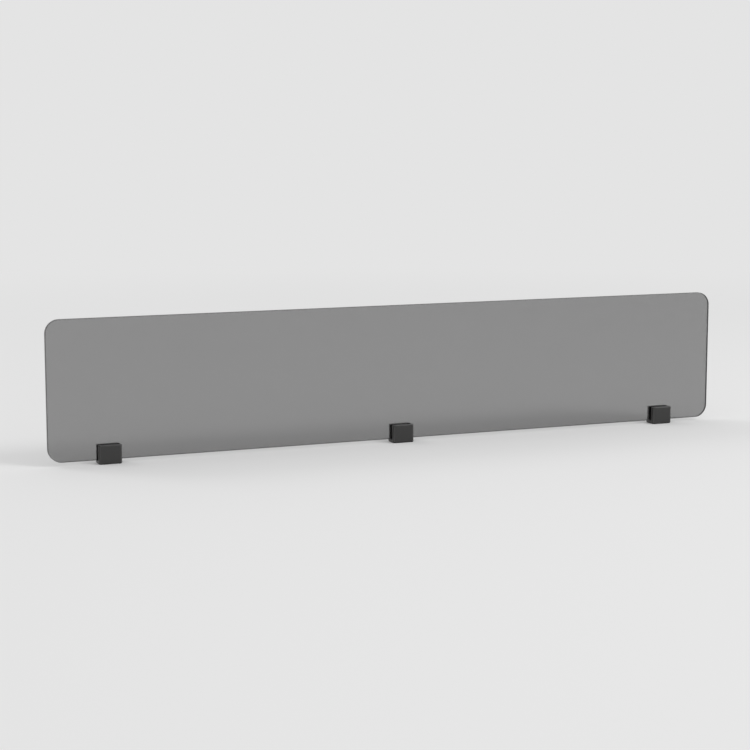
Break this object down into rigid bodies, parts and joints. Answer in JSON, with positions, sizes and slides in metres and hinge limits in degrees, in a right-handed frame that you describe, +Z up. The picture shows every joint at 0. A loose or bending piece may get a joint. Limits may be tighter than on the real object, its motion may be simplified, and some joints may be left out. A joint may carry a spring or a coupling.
{
  "type": "desk privacy panel",
  "caption": "Low smoked see-through screen for a bench desk, gripped along its bottom edge by block clips that bolt to the desktop.",
  "frame": {"origin": "on the desktop, under the middle of the sheet's length and thickness", "axes": "+X along the sheet to the right, +Y away from the user towards the set screws, +Z up"},
  "size_m": [1.6, 0.036, 0.308],
  "materials": {
    "smoked_acrylic": "polished",
    "black_aluminium": "satin",
    "black_rubber": "matte",
    "plain_steel": "satin",
    "black_steel": "satin"
  },
  "bodies": {
    "root": {"panel": "smoked_acrylic", "left_clip_body": "black_aluminium", "left_base_pad": "black_rubber", "left_seat_block": "black_rubber", "left_front_gasket": "black_rubber", "centre_clip_body": "black_aluminium", "centre_base_pad": "black_rubber", "centre_seat_block": "black_rubber", "centre_front_gasket": "black_rubber", "right_clip_body": "black_aluminium", "right_base_pad": "black_rubber", "right_seat_block": "black_rubber", "right_front_gasket": "black_rubber"},
    "left_jaw": {"left_pressure_plate": "plain_steel", "left_rear_gasket": "black_rubber"},
    "left_screw_1": {"left_set_screw_1": "black_steel"},
    "left_screw_2": {"left_set_screw_2": "black_steel"},
    "centre_jaw": {"centre_pressure_plate": "plain_steel", "centre_rear_gasket": "black_rubber"},
    "centre_screw_1": {"centre_set_screw_1": "black_steel"},
    "centre_screw_2": {"centre_set_screw_2": "black_steel"},
    "right_jaw": {"right_pressure_plate": "plain_steel", "right_rear_gasket": "black_rubber"},
    "right_screw_1": {"right_set_screw_1": "black_steel"},
    "right_screw_2": {"right_set_screw_2": "black_steel"}
  },
  "joints": [
    {"name": "left_jaw_release", "type": "slide", "parent": "root", "child": "left_jaw", "axis": [0, 1, 0], "range_m": [0, 0.002]},
    {"name": "left_screw_1_turn", "type": "hinge", "parent": "left_jaw", "child": "left_screw_1", "pos_m": [-0.68, 0.008, 0.0235], "axis": [0, 1, 0], "range_deg": [0, 900]},
    {"name": "left_screw_2_turn", "type": "hinge", "parent": "left_jaw", "child": "left_screw_2", "pos_m": [-0.66, 0.008, 0.0235], "axis": [0, 1, 0], "range_deg": [0, 900]},
    {"name": "centre_jaw_release", "type": "slide", "parent": "root", "child": "centre_jaw", "axis": [0, 1, 0], "range_m": [0, 0.002]},
    {"name": "centre_screw_1_turn", "type": "hinge", "parent": "centre_jaw", "child": "centre_screw_1", "pos_m": [-0.01, 0.008, 0.0235], "axis": [0, 1, 0], "range_deg": [0, 900]},
    {"name": "centre_screw_2_turn", "type": "hinge", "parent": "centre_jaw", "child": "centre_screw_2", "pos_m": [0.01, 0.008, 0.0235], "axis": [0, 1, 0], "range_deg": [0, 900]},
    {"name": "right_jaw_release", "type": "slide", "parent": "root", "child": "right_jaw", "axis": [0, 1, 0], "range_m": [0, 0.002]},
    {"name": "right_screw_1_turn", "type": "hinge", "parent": "right_jaw", "child": "right_screw_1", "pos_m": [0.66, 0.008, 0.0235], "axis": [0, 1, 0], "range_deg": [0, 900]},
    {"name": "right_screw_2_turn", "type": "hinge", "parent": "right_jaw", "child": "right_screw_2", "pos_m": [0.68, 0.008, 0.0235], "axis": [0, 1, 0], "range_deg": [0, 900]}
  ],
  "couplings": [
    {"joint": "left_screw_1_turn", "follows": "left_jaw_release", "rad_per_m": 7854},
    {"joint": "left_screw_2_turn", "follows": "left_jaw_release", "rad_per_m": 7854},
    {"joint": "centre_screw_1_turn", "follows": "centre_jaw_release", "rad_per_m": 7854},
    {"joint": "centre_screw_2_turn", "follows": "centre_jaw_release", "rad_per_m": 7854},
    {"joint": "right_screw_1_turn", "follows": "right_jaw_release", "rad_per_m": 7854},
    {"joint": "right_screw_2_turn", "follows": "right_jaw_release", "rad_per_m": 7854}
  ]
}
